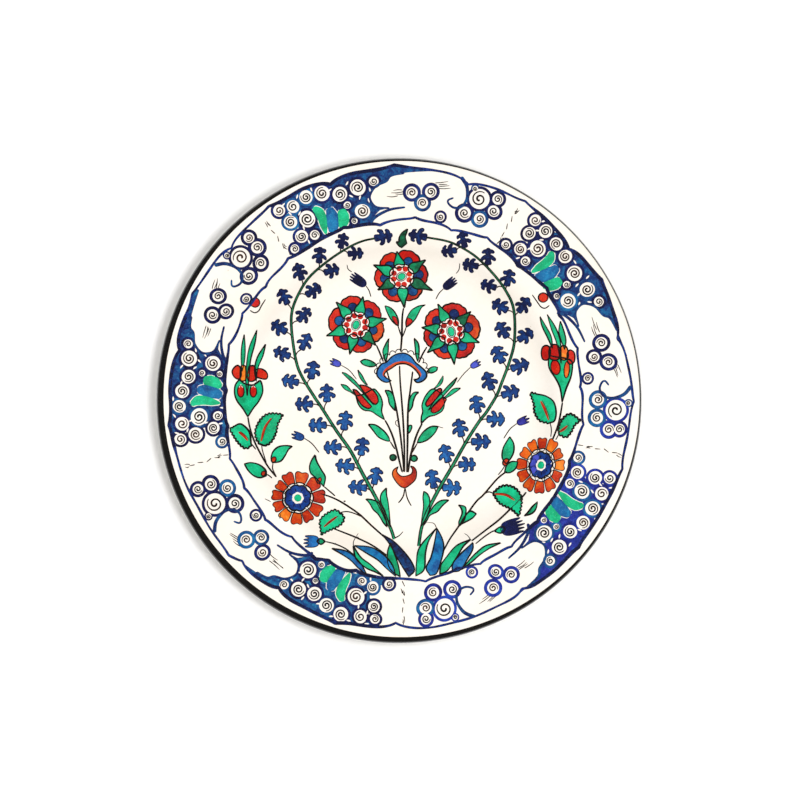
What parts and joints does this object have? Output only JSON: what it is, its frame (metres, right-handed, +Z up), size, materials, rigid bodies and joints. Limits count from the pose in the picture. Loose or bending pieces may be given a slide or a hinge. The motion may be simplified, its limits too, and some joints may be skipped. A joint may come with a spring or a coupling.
{
  "type": "decorative plate",
  "caption": "Hand painted ceramic plate with a painted flower pattern, a wave border on its flange, a dark rim line and a turned foot ring.",
  "frame": {"origin": "centre of the foot ring's lower face, which the plate rests on", "axes": "+Z up out of the painted face, along the axis the plate was turned on; +Y to the top of the painted pattern; +X to its right"},
  "size_m": [0.2999, 0.3, 0.03],
  "materials": {
    "clay": "unglazed buff fired clay, matt and slightly gritty, seen only on the foot ring",
    "white_glaze": "glossy cream-white glaze with faint pooling and pinholes",
    "black_brown_paint": "glossy black-brown underglaze line round the rim",
    "cobalt_paint": "glossy cobalt blue, darker where the brush pooled",
    "teal_paint": "glossy teal blue with streaks of the brush",
    "green_paint": "glossy emerald green with dark outlines",
    "red_paint": "glossy raised red, orange where it is thin"
  },
  "bodies": {
    "root": {"clay_body": "clay", "foot_ring": "clay", "face_glaze": "white_glaze", "back_glaze": "white_glaze", "rim_line": "black_brown_paint", "border_outer_line": "cobalt_paint", "border_inner_line": "cobalt_paint", "wave_spirals": "cobalt_paint", "wave_crests": "teal_paint", "shell_edge_stripes": "green_paint", "shell_middle_stripes": "cobalt_paint", "panel_tails": "cobalt_paint", "rose_petals": "red_paint", "rose_sepals": "green_paint", "rose_centres": "white_glaze", "hyacinth_stems": "green_paint", "hyacinth_blossoms_left": "cobalt_paint", "hyacinth_blossoms_right": "cobalt_paint", "vase_stems": "green_paint", "vase": "red_paint", "cloud_band": "cobalt_paint", "stem_leaves": "green_paint", "side_rosette_petals": "red_paint", "side_rosette_rings": "cobalt_paint", "side_rosette_eyes": "green_paint", "tulip_petals": "red_paint", "tulip_leaves": "green_paint", "tulip_stems": "green_paint", "serrated_leaves": "green_paint", "blue_buds": "cobalt_paint", "red_berries": "red_paint", "grass_tuft": "teal_paint"}
  },
  "joints": []
}
